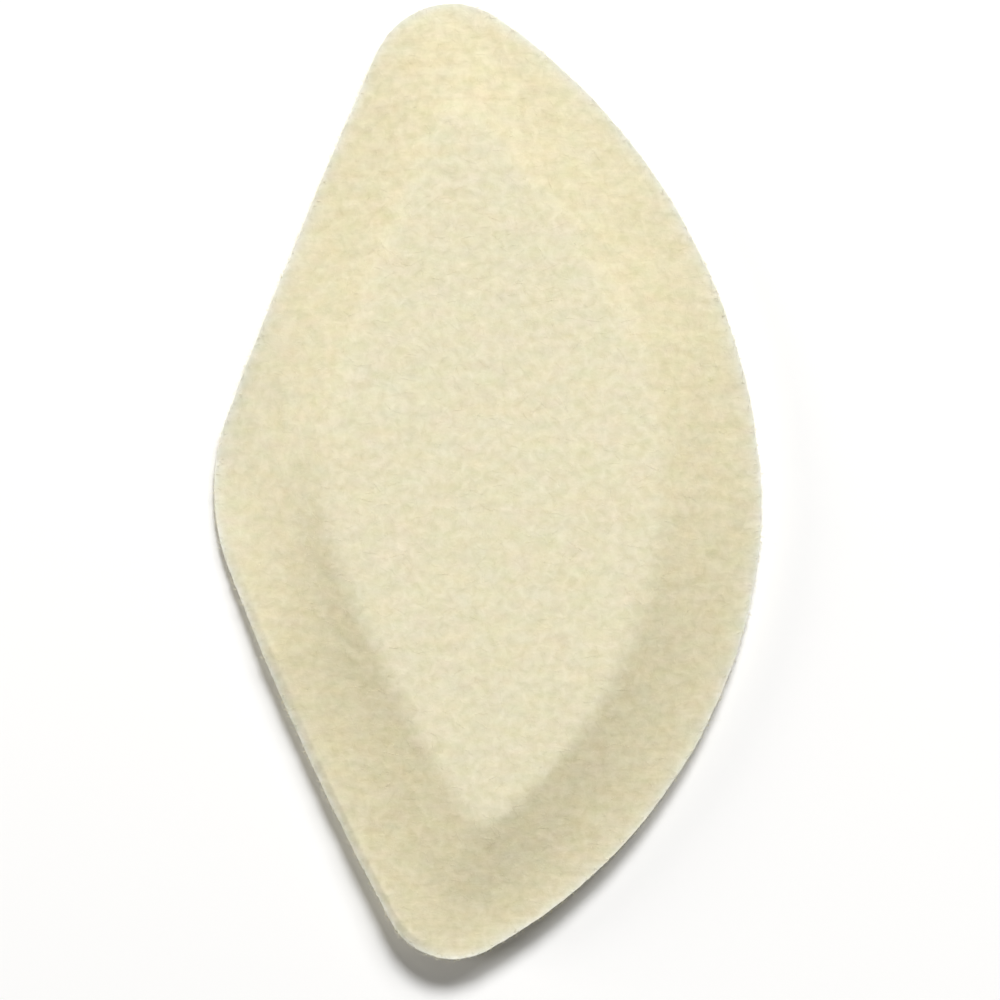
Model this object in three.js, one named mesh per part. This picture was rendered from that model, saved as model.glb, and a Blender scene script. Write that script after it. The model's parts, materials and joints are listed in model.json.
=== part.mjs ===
// Felt arch pad: one leaf-shaped piece of thick wool felt with a flat raised middle and a skived
// border that thins down to a low cut edge, which is thicker at the two tips and thinnest at the
// blunt corner. It rests on its flat underside.
// Millimetres, +Z up. The length runs along Y with the front tip at +Y, the round side faces +X
// and the blunt corner faces -X. The origin is on the underside, at the middle of the outline's
// length and width.
import * as THREE from "three";

// Overall sizes
const LENGTH = 90; // front tip to rear tip
const WIDTH = 51.8; // blunt corner to the crown of the round side
const FELT_THICKNESS = 4.8; // whole felt, at the raised middle
const RIM_THICKNESS = 2.2; // felt left at the cut edge
const FRONT_RIM_THICKNESS = 2.8; // felt left at the front tip
const REAR_RIM_THICKNESS = 3.3; // felt left at the rear tip
const TIP_RIM_LENGTH = 22; // the rim thickens over this length before each tip
const TIP_RIM_CURVE = 1.5; // 1 is a straight rise over that length, more is a later one
const CORNER_RIM_THICKNESS = 0.8; // felt left at the blunt corner
const CORNER_RIM_REACH = 19; // the rim thins over this distance round the blunt corner

// Cut edge: tips, blunt corner and crown of the round side
const FRONT_TIP_X = -3.4;
const FRONT_TIP_RADIUS = 7.7;
const REAR_TIP_X = -3.2;
const REAR_TIP_RADIUS = 6.6;
const CORNER_Y = -0.8;
const CORNER_RADIUS = 20;
const CROWN_Y = -3.3;
const CROWN_RADIUS = 18;

// Cut edge: the long sides between them
const FRONT_CORNER_SIDE_RADIUS = 830;
const REAR_CORNER_SIDE_RADIUS = 300;
const REAR_ROUND_SIDE_RADIUS = 49.3;
const FRONT_ROUND_SIDE_RADIUS = 57.4;

// Cut edge: how the wall stands
const WALL_LEAN = 0.05; // the wall leans in by this much on its way up
const ARRIS_RADIUS = 0.1; // soft upper edge of the wall

// Raised middle: the width of the skived border at its four ends
const FRONT_SKIVE = 10.8;
const CORNER_SKIVE = 10.7;
const REAR_SKIVE = 13.1;
const ROUND_SKIVE = 10.3;

// Raised middle: its own tips, bends and sides
const MIDDLE_FRONT_TIP_X = -2.2;
const MIDDLE_FRONT_TIP_RADIUS = 3;
const MIDDLE_REAR_TIP_X = -0.1;
const MIDDLE_REAR_TIP_RADIUS = 2.2;
const MIDDLE_CORNER_Y = 0.5;
const MIDDLE_CORNER_RADIUS = 25;
const MIDDLE_CROWN_Y = 3.2;
const MIDDLE_CROWN_RADIUS = 26;
const MIDDLE_FRONT_CORNER_SIDE_RADIUS = 160;
const MIDDLE_REAR_CORNER_SIDE_RADIUS = 120;
const MIDDLE_REAR_ROUND_SIDE_RADIUS = 40;
const MIDDLE_FRONT_ROUND_SIDE_RADIUS = 110;

// Skived border: 1 is a straight ramp, more is a hollower one that runs out flat at the rim
const FRONT_HOLLOW = 1.1;
const CORNER_HOLLOW = 2;
const REAR_HOLLOW = 1.9;
const ROUND_HOLLOW = 1.5;
const SHOULDER_REACH = 1.1; // the shoulder rounds over by this much on each side of its line

const FELT_COLOUR = 0xe9e1c6;

// Fineness of the mesh
const QUARTER_STEPS = 24; // round the outline, from one end to the next
const TIP_CLOSENESS = 0.6; // 0 spaces them evenly, 1 crowds them towards the tips
const ARRIS_STEPS = 3;
const SKIVE_STEPS = 7;
const SHOULDER_STEPS = 4;

// Circle of the given radius that holds circles a and b and touches both, on the left of a to b.
function sideCircle(a, b, radius) {
  const ab = new THREE.Vector2().subVectors(b.centre, a.centre);
  const gap = ab.length();
  const reachA = radius - a.radius;
  const reachB = radius - b.radius;
  const along = (reachA ** 2 - reachB ** 2 + gap ** 2) / (2 * gap);
  const aside = Math.sqrt(reachA ** 2 - along ** 2);
  const u = ab.normalize();
  const centre = new THREE.Vector2(-u.y, u.x).multiplyScalar(aside);
  centre.addScaledVector(u, along).add(a.centre);
  return { centre, radius };
}

// Direction in which two circles, one inside the other, touch.
function touchAngle(inner, outer) {
  return Math.atan2(inner.centre.y - outer.centre.y, inner.centre.x - outer.centre.x);
}

// Closed outline of eight tangent arcs, counter-clockwise: each end circle, then the side after it.
function tangentOutline(ends) {
  const circles = ends.map((e) => ({ centre: new THREE.Vector2(e.x, e.y), radius: e.radius }));
  const arcs = [];
  circles.forEach((circle, i) => {
    const next = circles[(i + 1) % circles.length];
    const side = sideCircle(circle, next, ends[i].sideRadius);
    arcs.push({ ...circle, to: touchAngle(circle, side) });
    arcs.push({ ...side, to: touchAngle(next, side) });
  });
  let travelled = 0;
  arcs.forEach((arc, i) => {
    const start = arcs[(i + arcs.length - 1) % arcs.length].to;
    arc.turn = THREE.MathUtils.euclideanModulo(arc.to - start, 2 * Math.PI);
    arc.from = arc.to - arc.turn;
    arc.begins = travelled;
    travelled += arc.turn * arc.radius;
  });
  return { arcs, perimeter: travelled };
}

// How far along an outline its outward direction first comes to the given angle.
function distanceAt({ arcs }, angle) {
  const ahead = (arc) => THREE.MathUtils.euclideanModulo(angle - arc.from, 2 * Math.PI);
  const arc = arcs.find((one) => ahead(one) <= one.turn);
  return arc.begins + ahead(arc) * arc.radius;
}

// Point of an outline at a distance along it, with its outward direction.
function pointAt({ arcs, perimeter }, distance) {
  const d = THREE.MathUtils.euclideanModulo(distance, perimeter);
  const arc = arcs.findLast((one) => one.begins <= d);
  const angle = arc.from + (d - arc.begins) / arc.radius;
  const out = new THREE.Vector2(Math.cos(angle), Math.sin(angle));
  return { at: arc.centre.clone().addScaledVector(out, arc.radius), out };
}

// Places of the ring points: the quarter of the outline, and the share of it that is passed.
// The quarters run front tip, corner, rear tip, crown; the points stand closer at the two tips.
function ringPlaces() {
  return [0, 1, 2, 3].flatMap((quarter) =>
    Array.from({ length: QUARTER_STEPS }, (_, i) => {
      const even = i / QUARTER_STEPS;
      const crowded = quarter % 2 ? 1 - (1 - even) ** 2 : even ** 2;
      return { quarter, share: THREE.MathUtils.lerp(even, crowded, TIP_CLOSENESS) };
    }),
  );
}

// Points round an outline, set in from it by the given distance.
function ringPoints(outline, inset) {
  const ends = [1, 2, 3, 4].map((quarter) => distanceAt(outline, (quarter * Math.PI) / 2));
  return ringPlaces().map(({ quarter, share }) => {
    const start = ends[quarter];
    const stretch = ends[(quarter + 1) % ends.length] - start;
    const length = THREE.MathUtils.euclideanModulo(stretch, outline.perimeter);
    const { at, out } = pointAt(outline, start + share * length);
    return { at: at.addScaledVector(out, -inset), out };
  });
}

// A value for each ring point, blended from those at the four ends.
function ringValues(values) {
  return ringPlaces().map(({ quarter, share }) => {
    const next = values[(quarter + 1) % values.length];
    return THREE.MathUtils.lerp(values[quarter], next, share);
  });
}

const cutEdge = tangentOutline([
  {
    x: FRONT_TIP_X,
    y: LENGTH / 2 - FRONT_TIP_RADIUS,
    radius: FRONT_TIP_RADIUS,
    sideRadius: FRONT_CORNER_SIDE_RADIUS,
  },
  {
    x: CORNER_RADIUS - WIDTH / 2,
    y: CORNER_Y,
    radius: CORNER_RADIUS,
    sideRadius: REAR_CORNER_SIDE_RADIUS,
  },
  {
    x: REAR_TIP_X,
    y: REAR_TIP_RADIUS - LENGTH / 2,
    radius: REAR_TIP_RADIUS,
    sideRadius: REAR_ROUND_SIDE_RADIUS,
  },
  {
    x: WIDTH / 2 - CROWN_RADIUS,
    y: CROWN_Y,
    radius: CROWN_RADIUS,
    sideRadius: FRONT_ROUND_SIDE_RADIUS,
  },
]);

const raisedMiddle = tangentOutline([
  {
    x: MIDDLE_FRONT_TIP_X,
    y: LENGTH / 2 - FRONT_SKIVE - MIDDLE_FRONT_TIP_RADIUS,
    radius: MIDDLE_FRONT_TIP_RADIUS,
    sideRadius: MIDDLE_FRONT_CORNER_SIDE_RADIUS,
  },
  {
    x: CORNER_SKIVE + MIDDLE_CORNER_RADIUS - WIDTH / 2,
    y: MIDDLE_CORNER_Y,
    radius: MIDDLE_CORNER_RADIUS,
    sideRadius: MIDDLE_REAR_CORNER_SIDE_RADIUS,
  },
  {
    x: MIDDLE_REAR_TIP_X,
    y: REAR_SKIVE + MIDDLE_REAR_TIP_RADIUS - LENGTH / 2,
    radius: MIDDLE_REAR_TIP_RADIUS,
    sideRadius: MIDDLE_REAR_ROUND_SIDE_RADIUS,
  },
  {
    x: WIDTH / 2 - ROUND_SKIVE - MIDDLE_CROWN_RADIUS,
    y: MIDDLE_CROWN_Y,
    radius: MIDDLE_CROWN_RADIUS,
    sideRadius: MIDDLE_FRONT_ROUND_SIDE_RADIUS,
  },
]);

const hollows = ringValues([FRONT_HOLLOW, CORNER_HOLLOW, REAR_HOLLOW, ROUND_HOLLOW]);
const rimLine = ringPoints(cutEdge, WALL_LEAN + ARRIS_RADIUS);
const shoulderLine = ringPoints(raisedMiddle, 0);

// What a tip adds to the rim, at a distance before that tip.
function tipRise(before, tipThickness) {
  const near = THREE.MathUtils.clamp(1 - before / TIP_RIM_LENGTH, 0, 1);
  return (tipThickness - RIM_THICKNESS) * near ** TIP_RIM_CURVE;
}

// What the blunt corner takes off the rim, at a place on the cut edge.
function cornerFall({ x, y }) {
  const away = Math.hypot(x + WIDTH / 2, y - CORNER_Y);
  const thinned = 1 - THREE.MathUtils.smoothstep(away, 0, CORNER_RIM_REACH);
  return (RIM_THICKNESS - CORNER_RIM_THICKNESS) * thinned;
}

// Thickness of the rim at a place on the cut edge.
function rimAt(place) {
  const front = tipRise(LENGTH / 2 - place.y, FRONT_RIM_THICKNESS);
  const rear = tipRise(LENGTH / 2 + place.y, REAR_RIM_THICKNESS);
  return RIM_THICKNESS + front + rear - cornerFall(place);
}

const rims = ringPoints(cutEdge, 0).map(({ at }) => rimAt(at));

// Ring of the cut wall, at a height that is worked out from the rim's own.
function wallRing(inset, height) {
  return ringPoints(cutEdge, inset).map(({ at }, i) => new THREE.Vector3(at.x, at.y, height(rims[i])));
}

// Ring on the upper face. beyond(width) is its distance outside the shoulder line, for a border
// that is that wide; below zero it lies on the raised middle.
function upperRing(beyond) {
  return shoulderLine.map(({ at, out }, i) => {
    const width = at.distanceTo(rimLine[i].at);
    const s = beyond(width);
    const eased = s < SHOULDER_REACH ? (s + SHOULDER_REACH) ** 2 / (4 * SHOULDER_REACH) : s;
    const risen = (1 - eased / width) ** hollows[i];
    const z = THREE.MathUtils.lerp(rims[i], FELT_THICKNESS, risen);
    const p =
      s < 0 ? at.clone().addScaledVector(out, s) : at.clone().lerp(rimLine[i].at, s / width);
    return new THREE.Vector3(p.x, p.y, z);
  });
}

// Rings from the edge of the underside, up the wall and over the top to the raised middle.
function padRings() {
  const rings = [wallRing(0, () => 0)];
  for (let i = 0; i < ARRIS_STEPS; i++) {
    const turn = (i / ARRIS_STEPS) * (Math.PI / 2);
    const inset = WALL_LEAN + ARRIS_RADIUS * (1 - Math.cos(turn));
    rings.push(wallRing(inset, (rim) => rim - ARRIS_RADIUS * (1 - Math.sin(turn))));
  }
  for (let i = 0; i < SKIVE_STEPS; i++) {
    const across = i / SKIVE_STEPS;
    rings.push(upperRing((width) => THREE.MathUtils.lerp(width, SHOULDER_REACH, across)));
  }
  for (let i = 0; i <= SHOULDER_STEPS; i++) {
    const across = i / SHOULDER_STEPS;
    rings.push(upperRing(() => SHOULDER_REACH * (1 - 2 * across)));
  }
  return rings;
}

// Closed skin over rings of equal length, with a flat fan over the first and the last one.
function closedSkin(rings) {
  const count = rings[0].length;
  const points = rings.flat();
  const middleOf = (ring) =>
    ring.reduce((sum, p) => sum.add(p), new THREE.Vector3()).divideScalar(ring.length);
  const under = points.push(middleOf(rings[0])) - 1;
  const top = points.push(middleOf(rings[rings.length - 1])) - 1;
  const last = (rings.length - 1) * count;
  const faces = [];
  for (let i = 0; i < count; i++) {
    const j = (i + 1) % count;
    faces.push(under, j, i);
    faces.push(top, last + i, last + j);
    for (let row = 0; row < last; row += count) {
      faces.push(row + i, row + j, row + count + j);
      faces.push(row + i, row + count + j, row + count + i);
    }
  }
  const geometry = new THREE.BufferGeometry().setFromPoints(points);
  geometry.setIndex(faces);
  geometry.computeVertexNormals();
  return geometry;
}

const feltPad = new THREE.Mesh(
  closedSkin(padRings()),
  new THREE.MeshStandardMaterial({ color: FELT_COLOUR, roughness: 0.97, metalness: 0 }),
);
feltPad.name = "felt_pad";

const group = new THREE.Group();
group.name = "felt_arch_pad";
group.add(feltPad);

export default group;
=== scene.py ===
"""Leaf-shaped arch pad of thick pressed felt, its loose fibres and a pale studio stage.

Metres, +Z up. The length runs along Y with the front tip at +Y, the round side faces +X and
the blunt corner faces -X. The pad rests on its flat underside at z = 0.
"""

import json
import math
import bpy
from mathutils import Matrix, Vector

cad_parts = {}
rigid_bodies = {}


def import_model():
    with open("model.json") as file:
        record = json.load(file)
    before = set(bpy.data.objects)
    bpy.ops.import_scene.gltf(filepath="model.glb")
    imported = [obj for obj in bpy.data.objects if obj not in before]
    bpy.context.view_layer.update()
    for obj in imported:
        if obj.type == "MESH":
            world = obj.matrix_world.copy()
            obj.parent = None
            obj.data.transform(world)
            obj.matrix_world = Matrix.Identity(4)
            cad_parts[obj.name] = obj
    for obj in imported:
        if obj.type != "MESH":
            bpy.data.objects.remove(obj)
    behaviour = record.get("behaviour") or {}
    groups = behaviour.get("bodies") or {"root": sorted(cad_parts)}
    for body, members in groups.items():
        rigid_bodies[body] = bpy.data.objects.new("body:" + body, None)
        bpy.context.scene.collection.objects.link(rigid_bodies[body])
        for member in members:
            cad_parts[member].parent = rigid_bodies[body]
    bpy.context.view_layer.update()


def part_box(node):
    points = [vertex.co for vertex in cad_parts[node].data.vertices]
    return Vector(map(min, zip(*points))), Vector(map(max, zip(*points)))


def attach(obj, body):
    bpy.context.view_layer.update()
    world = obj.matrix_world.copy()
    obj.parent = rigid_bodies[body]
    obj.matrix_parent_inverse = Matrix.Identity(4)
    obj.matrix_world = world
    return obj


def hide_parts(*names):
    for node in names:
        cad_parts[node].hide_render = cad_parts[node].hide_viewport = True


bl_info = {
    "name": "Felt arch pad",
    "version": (1, 0, 0),
    "blender": (4, 5, 0),
    "location": "3D View > Sidebar > Felt pad",
    "description": "Builds a skived felt arch pad with loose fibres, on a pale studio stage",
    "category": "Add Mesh",
}

import bpy
import numpy as np
from bpy.props import FloatProperty, FloatVectorProperty, IntProperty, PointerProperty
from mathutils import Vector, noise

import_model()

MM = 0.001
PAD_NODE = "felt_pad"
PAD_LOW, PAD_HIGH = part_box(PAD_NODE)

# Ends of the cut edge, in millimetres: front tip, blunt corner, rear tip, crown
FRONT_TIP_X, FRONT_TIP_RADIUS = -3.4, 7.7
CORNER_Y, CORNER_RADIUS = -0.8, 20.0
REAR_TIP_X, REAR_TIP_RADIUS = -3.2, 6.6
CROWN_Y, CROWN_RADIUS = -3.3, 18.0

# Radii of the long sides between those ends, each one after its end
CUT_SIDES = (830.0, 300.0, 49.3, 57.4)

# Ends and long sides of the raised middle, in the same order
MIDDLE_FRONT_TIP_X, MIDDLE_FRONT_TIP_RADIUS = -2.2, 3.0
MIDDLE_CORNER_Y, MIDDLE_CORNER_RADIUS = 0.5, 25.0
MIDDLE_REAR_TIP_X, MIDDLE_REAR_TIP_RADIUS = -0.1, 2.2
MIDDLE_CROWN_Y, MIDDLE_CROWN_RADIUS = 3.2, 26.0
MIDDLE_SIDES = (160.0, 120.0, 40.0, 110.0)

# How hollow the skived border is at the four ends: 1 is a straight ramp
HOLLOWS = (1.1, 2.0, 1.9, 1.5)

TIP_RIM_CURVE = 1.5  # 1 is a straight rise of the rim towards a tip, more is a later one

# Fineness of the felt's mesh
QUARTER_STEPS = 190  # round the outline, from one end to the next
TIP_CLOSENESS = 0.35  # 0 spaces them evenly, 1 crowds them towards the tips
WALL_STEPS = 7
ARRIS_STEPS = 7
LIP_STEPS = 9
SKIVE_STEPS = 20
SHOULDER_STEPS = 9
MIDDLE_STEPS = 33
UNDERSIDE_STEPS = 14

# Sizes of the felt's surface, in millimetres
LOW_CHAMFER = 0.15  # between the underside and the wall
LIP_WIDTH = 1.4  # outermost strip of the border, which has rings of its own
SPREAD_FADE = 5.0  # from the edge, over which its fluff and its waver fade
WALL_LUMPS_FROM = 0.3  # above the floor, from where the wall's lumps are whole
UNDERSIDE_PULL, RIDGE_PULL = 6.0, 5.0  # how far the two middle lines stop short of the tips

UNDERSIDE_EASE = 0.8  # 1 spaces its rings evenly, less crowds them at the edge

# The border's own colour starts and is full here, in shares of the shoulder's reach
SKIVED_FROM, SKIVED_FULL = -0.6, 1.6

# Noise of the cut edge's waver and of the felt's lumps: (wavelength in mm, share, offset)
EDGE_WAVES = ((5.0, 1.0, 3.7), (1.7, 0.5, 9.1), (0.8, 0.6, 4.4))
LUMP_WAVES = ((9.0, 0.50, 1.3), (3.1, 0.30, 5.9), (1.3, 0.22, 8.2), (0.7, 0.10, 2.4))

# The rim's paleness is partly paler fluffed wool and partly a painted glow of lit fibres
RIM_FADE = 0.65  # mm over which the rim's paleness falls to a third

# Painted light: place near the blunt corner where the border is painted nearly as pale as the
# middle, for light that falls brighter there, in mm
PAINTED_LIGHT_PLACE, PAINTED_LIGHT_REACH, PAINTED_LIGHT_DEPTH = complex(-21.5, 4.5), 11.0, 0.85

# The rear tip's lip curls up from a dip behind it, in millimetres from the edge
CURL_REACH, DIP_FROM, DIP_TO = 1.8, 4.0, 10.0

FUZZ_FROM = 0.7  # mm above the floor, over which the wall's fuzz is dense
LOW_FUZZ = 0.35  # share of the fuzz that grows below that
EDGE_RIM = 0.6  # nearness to the rim from which the wall's fuzz also grows on the top
EDGE_FUZZ = 1.5  # how much denser it is there

# Part of the cut edge whose lip is rolled over, in shares of the rear corner side
REAR_CORNER_SIDE = 1  # number of that side, where the front corner side is 0
ROLL_FROM, ROLL_FULL, ROLL_FADES, ROLL_ENDS = 0.0, 0.3, 0.88, 1.0
ROLL_CURVE = 1.1  # 1 lets the lip drop in a straight line, more bends it at the edge

# Noise of the matted wool, with lengths in millimetres
FLECK_NOISE = {"Detail": 3.0, "Roughness": 0.6, "Distortion": 0.4}
FIBRE_NOISE = {"Detail": 3.0, "Roughness": 0.6, "Distortion": 1.6}
STREAK_NOISE = {"Scale": 1.6, "Detail": 3.0, "Roughness": 0.7, "Distortion": 0.5}
TINT_NOISE = {"Scale": 0.7, "Detail": 2.5, "Roughness": 0.55}
STREAK_STRETCH = (0.16, 0.9, 0.9)  # less is longer in that direction
TINT_STRETCH = (0.55, 1.0, 1.0)

# How much of a fleck or a tint goes into one colour
BLUSH_IN_RED, BLUSH_IN_GREEN = 0.5, -0.2
FLECK_IN_BLUE, WARMTH_IN_BLUE = 0.35, -0.95

# Share of the cut edge's paler wool and painted glow, and how closely the painted highlight of lit
# fuzz keeps to the edge
RIM_GLOW_SHARE, EDGE_HIGHLIGHT_SHARE, EDGE_HIGHLIGHT_CURVE = 0.78, 0.45, 5.0

# The felt's relief is mixed from both patterns, and its flecks are rougher
FIBRE_RELIEF, FLECK_RELIEF = 0.35, 0.65
FELT_ROUGHNESS, FELT_ROUGHNESS_RISE = 0.86, 0.12

# Loose fibres: pattern sizes in millimetres, contrast of the flecks, roughness
LOOSE_FLECK_SIZE, LOOSE_FIBRE_SIZE, LOOSE_FLECK_DEPTH = 0.8, 0.3, 0.25
LOOSE_ROUGHNESS, LOOSE_ROUGHNESS_RISE = 0.8, 0.1

# Shape of a loose fibre
SHORTEST_FIBRE = 0.35  # share of the longest
ROOT_DEPTH = 0.6  # how deep its root is sunk, in fibre thicknesses
FIBRE_TAPER = 0.55  # share of the thickness that is lost towards its end
FIBRE_SIDES = 3
SWIRL_SCALE = 900.0  # of the noise that curls it, in a metre
LEAN_SEED, SPIN_SEED, LENGTH_SEED = 11, 12, 13  # added to the seed of the scatter
ROOT_NORMAL = "stands"  # attribute that carries the felt's direction at the root

FLAT_ENOUGH = 0.5  # a face is part of the top if it looks up at least this much
FLOOR_HALF = 3.0  # half width of the floor, in metres
VIEW_PLANE = 2.0  # height in millimetres at which the view has its width


def smooth(low, high, value):
    """0 below low, 1 above high, and a soft rise between them."""
    t = np.clip((value - low) / (high - low), 0, 1)
    return t * t * (3 - 2 * t)


class Outline:
    """Closed line of eight tangent arcs, counter-clockwise: each end circle, then a long side.

    Points of the plane are complex numbers. ends holds (x, y, radius, radius of the side after).
    """

    def __init__(self, ends):
        arcs = []
        for here, after in zip(ends, ends[1:] + ends[:1]):
            a, b = complex(*here[:2]), complex(*after[:2])
            side_radius = here[3]
            gap = abs(b - a)
            reach_a, reach_b = side_radius - here[2], side_radius - after[2]
            along = (reach_a**2 - reach_b**2 + gap**2) / (2 * gap)
            aside = math.sqrt(reach_a**2 - along**2)
            side = a + (b - a) / gap * complex(along, aside)
            arcs.append((a, here[2], np.angle(a - side)))
            arcs.append((side, side_radius, np.angle(b - side)))
        self.centre = np.array([arc[0] for arc in arcs])
        self.radius = np.array([arc[1] for arc in arcs])
        ends_at = np.array([arc[2] for arc in arcs])
        self.turn = np.mod(ends_at - np.roll(ends_at, 1), 2 * math.pi)
        self.start = ends_at - self.turn
        self.begins = np.concatenate([[0], np.cumsum(self.turn * self.radius)])
        self.perimeter = self.begins[-1]

    def distance_to(self, angle):
        """How far along the line its outward direction first comes to the angle."""
        ahead = np.mod(angle - self.start, 2 * math.pi)
        arc = int(np.argmax(ahead <= self.turn))
        return self.begins[arc] + ahead[arc] * self.radius[arc]

    def points(self, distance):
        """Points at these distances along the line, with their outward directions."""
        d = np.mod(distance, self.perimeter)
        arc = np.searchsorted(self.begins[1:-1], d, side="right")
        out = np.exp(1j * (self.start[arc] + (d - self.begins[arc]) / self.radius[arc]))
        return self.centre[arc] + out * self.radius[arc], out

    def ring(self, quarter, share):
        """Ring points, each at a share of the way from one end to the next."""
        ends = np.array([self.distance_to(math.pi / 2 * k) for k in (1, 2, 3, 4)])
        stretch = np.mod(np.roll(ends, -1) - ends, self.perimeter)
        return self.points(ends[quarter] + share * stretch[quarter])


def ring_places():
    """Quarter and share of each ring point, from the front tip on, closer together at the tips."""
    even = np.tile(np.arange(QUARTER_STEPS) / QUARTER_STEPS, 4)
    quarter = np.repeat(np.arange(4), QUARTER_STEPS)
    crowded = np.where(quarter % 2, 1 - (1 - even) ** 2, even**2)
    return quarter, even + (crowded - even) * TIP_CLOSENESS


def cut_edge(size):
    """Outline of the cut edge, in millimetres."""
    half_length, half_width = size.length / MM / 2, size.width / MM / 2
    front, corner, rear, round_side = CUT_SIDES
    return Outline(
        [
            (FRONT_TIP_X, half_length - FRONT_TIP_RADIUS, FRONT_TIP_RADIUS, front),
            (CORNER_RADIUS - half_width, CORNER_Y, CORNER_RADIUS, corner),
            (REAR_TIP_X, REAR_TIP_RADIUS - half_length, REAR_TIP_RADIUS, rear),
            (half_width - CROWN_RADIUS, CROWN_Y, CROWN_RADIUS, round_side),
        ]
    )


def raised_middle(size):
    """Outline of the raised middle, in millimetres."""
    half_length, half_width = size.length / MM / 2, size.width / MM / 2
    front, corner, rear, crown = (
        s / MM for s in (size.front_skive, size.corner_skive, size.rear_skive, size.crown_skive)
    )
    corner_x = corner + MIDDLE_CORNER_RADIUS - half_width
    crown_x = half_width - crown - MIDDLE_CROWN_RADIUS
    front_y = half_length - front - MIDDLE_FRONT_TIP_RADIUS
    rear_y = rear + MIDDLE_REAR_TIP_RADIUS - half_length
    sides = MIDDLE_SIDES
    return Outline(
        [
            (MIDDLE_FRONT_TIP_X, front_y, MIDDLE_FRONT_TIP_RADIUS, sides[0]),
            (corner_x, MIDDLE_CORNER_Y, MIDDLE_CORNER_RADIUS, sides[1]),
            (MIDDLE_REAR_TIP_X, rear_y, MIDDLE_REAR_TIP_RADIUS, sides[2]),
            (crown_x, MIDDLE_CROWN_Y, MIDDLE_CROWN_RADIUS, sides[3]),
        ]
    )


def spine_of(line, pull):
    """Middle line of a ring, one point for each ring point and the same for both of a pair.

    Ring point i stands across from point -i. The line stops short of both tips by pull.
    """
    across = np.roll(line[::-1], 1)
    middle = (line + across) / 2
    y_top, y_low = middle.imag.max(), middle.imag.min()
    y = np.interp(middle.imag, (y_low, y_top), (y_low + pull, y_top - pull))
    order = np.argsort(middle.imag)
    return np.interp(y, middle.imag[order], middle.real[order]) + 1j * y


def waves(points, wavelength, offset=0.0):
    """Soft noise from -1 to 1 at points in millimetres."""
    shift = Vector((offset, -offset, offset * 0.5))
    return np.array([noise.noise(Vector(p) / wavelength + shift) for p in points])


def mixed_waves(points, table):
    """Sum of soft noises, one for each (wavelength, share, offset) of the table."""
    return sum(share * waves(points, wavelength, offset) for wavelength, share, offset in table)


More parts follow.
